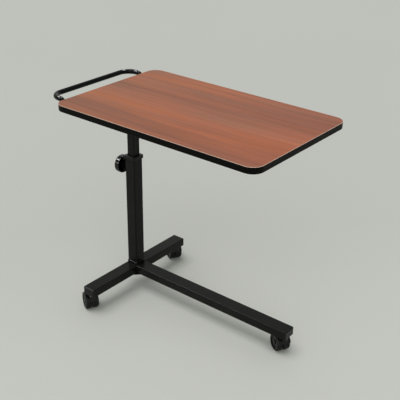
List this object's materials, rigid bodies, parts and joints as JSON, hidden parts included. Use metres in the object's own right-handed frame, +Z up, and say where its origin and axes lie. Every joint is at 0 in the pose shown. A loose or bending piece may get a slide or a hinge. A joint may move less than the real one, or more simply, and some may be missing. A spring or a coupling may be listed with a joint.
{
  "type": "overbed table",
  "caption": "Overbed table: wood-look board on a square column that slides up and down, locked by a side knob, on a T-shaped base with casters and a tubular handle.",
  "frame": {"origin": "on the floor under the column's axis", "axes": "+X along the board and the long leg towards the free end, +Y across the board, +Z up"},
  "size_m": [0.7215, 0.4287, 0.618],
  "materials": {
    "coated_steel": "satin powder coat",
    "handle_finish": "gloss paint",
    "black_plastic": "fine moulded texture",
    "gloss_plastic": "polished",
    "edge_plastic": "smooth extruded",
    "caster_plastic": "semi-gloss",
    "wheel_plastic": "moulded",
    "tread_rubber": "dull",
    "pad_plastic": "natural nylon",
    "bare_steel": "zinc plated",
    "wood_laminate": "satin wood-pattern laminate",
    "core_board": "raw particle board",
    "backing": "plain backing laminate"
  },
  "bodies": {
    "base": {"cross_leg": "coated_steel", "long_leg": "coated_steel", "cross_caps": "black_plastic", "long_cap": "black_plastic", "stem_sockets": "bare_steel", "foot_plate": "coated_steel", "column_boot": "gloss_plastic", "hub_plate": "coated_steel", "outer_column": "coated_steel", "collar": "black_plastic", "clamp_boss": "coated_steel"},
    "upper": {"inner_column": "coated_steel", "bottom_guide": "black_plastic", "bracket_plate": "coated_steel", "bracket_gussets": "coated_steel", "bracket_screws": "bare_steel", "support_channel": "coated_steel", "channel_screws": "bare_steel", "board_core": "core_board", "backing_sheet": "backing", "top_laminate": "wood_laminate", "edge_band": "edge_plastic", "handle_tube": "handle_finish", "handle_plugs": "black_plastic", "handle_clips": "coated_steel", "clip_screws": "bare_steel"},
    "pad": {"clamp_pad": "pad_plastic"},
    "knob": {"knob_screw": "bare_steel", "knob_head": "gloss_plastic", "knob_cap": "gloss_plastic"},
    "swivel_near": {"stem_near": "bare_steel", "body_near": "caster_plastic", "axle_near": "bare_steel"},
    "roll_near_a": {"tyre_near_a": "tread_rubber", "wheel_near_a": "wheel_plastic"},
    "roll_near_b": {"tyre_near_b": "tread_rubber", "wheel_near_b": "wheel_plastic"},
    "swivel_far": {"stem_far": "bare_steel", "body_far": "caster_plastic", "axle_far": "bare_steel"},
    "roll_far_a": {"tyre_far_a": "tread_rubber", "wheel_far_a": "wheel_plastic"},
    "roll_far_b": {"tyre_far_b": "tread_rubber", "wheel_far_b": "wheel_plastic"},
    "swivel_end": {"stem_end": "bare_steel", "body_end": "caster_plastic", "axle_end": "bare_steel"},
    "roll_end_a": {"tyre_end_a": "tread_rubber", "wheel_end_a": "wheel_plastic"},
    "roll_end_b": {"tyre_end_b": "tread_rubber", "wheel_end_b": "wheel_plastic"}
  },
  "joints": [
    {"name": "height_slide", "type": "slide", "parent": "base", "child": "upper", "axis": [0, 0, 1], "range_m": [-0.1, 0.16]},
    {"name": "clamp_travel", "type": "slide", "parent": "base", "child": "pad", "axis": [-1, 0, 0], "range_m": [0, 0.00251]},
    {"name": "knob_turn", "type": "hinge", "parent": "pad", "child": "knob", "pos_m": [-0.045, 0, 0.392], "axis": [-1, 0, 0], "range_deg": [0, 720]},
    {"name": "swivel_turn_near", "type": "hinge", "parent": "base", "child": "swivel_near", "pos_m": [0, -0.1864, 0.055], "axis": [0, 0, 1], "continuous": true},
    {"name": "roll_turn_near_a", "type": "hinge", "parent": "swivel_near", "child": "roll_near_a", "pos_m": [-0.02099, -0.17476, 0.025], "axis": [-0.4848, -0.8746, 0], "continuous": true},
    {"name": "roll_turn_near_b", "type": "hinge", "parent": "swivel_near", "child": "roll_near_b", "pos_m": [-0.02099, -0.17476, 0.025], "axis": [-0.4848, -0.8746, 0], "continuous": true},
    {"name": "swivel_turn_far", "type": "hinge", "parent": "base", "child": "swivel_far", "pos_m": [0, 0.1864, 0.055], "axis": [0, 0, 1], "continuous": true},
    {"name": "roll_turn_far_a", "type": "hinge", "parent": "swivel_far", "child": "roll_far_a", "pos_m": [-0.02119, 0.19767, 0.025], "axis": [-0.4695, -0.8829, 0], "continuous": true},
    {"name": "roll_turn_far_b", "type": "hinge", "parent": "swivel_far", "child": "roll_far_b", "pos_m": [-0.02119, 0.19767, 0.025], "axis": [-0.4695, -0.8829, 0], "continuous": true},
    {"name": "swivel_turn_end", "type": "hinge", "parent": "base", "child": "swivel_end", "pos_m": [0.5375, 0, 0.055], "axis": [0, 0, 1], "continuous": true},
    {"name": "roll_turn_end_a", "type": "hinge", "parent": "swivel_end", "child": "roll_end_a", "pos_m": [0.51672, 0.012, 0.025], "axis": [-0.5, -0.866, 0], "continuous": true},
    {"name": "roll_turn_end_b", "type": "hinge", "parent": "swivel_end", "child": "roll_end_b", "pos_m": [0.51672, 0.012, 0.025], "axis": [-0.5, -0.866, 0], "continuous": true}
  ],
  "couplings": [
    {"joint": "clamp_travel", "follows": "knob_turn", "m_per_rad": 0.00019894}
  ]
}
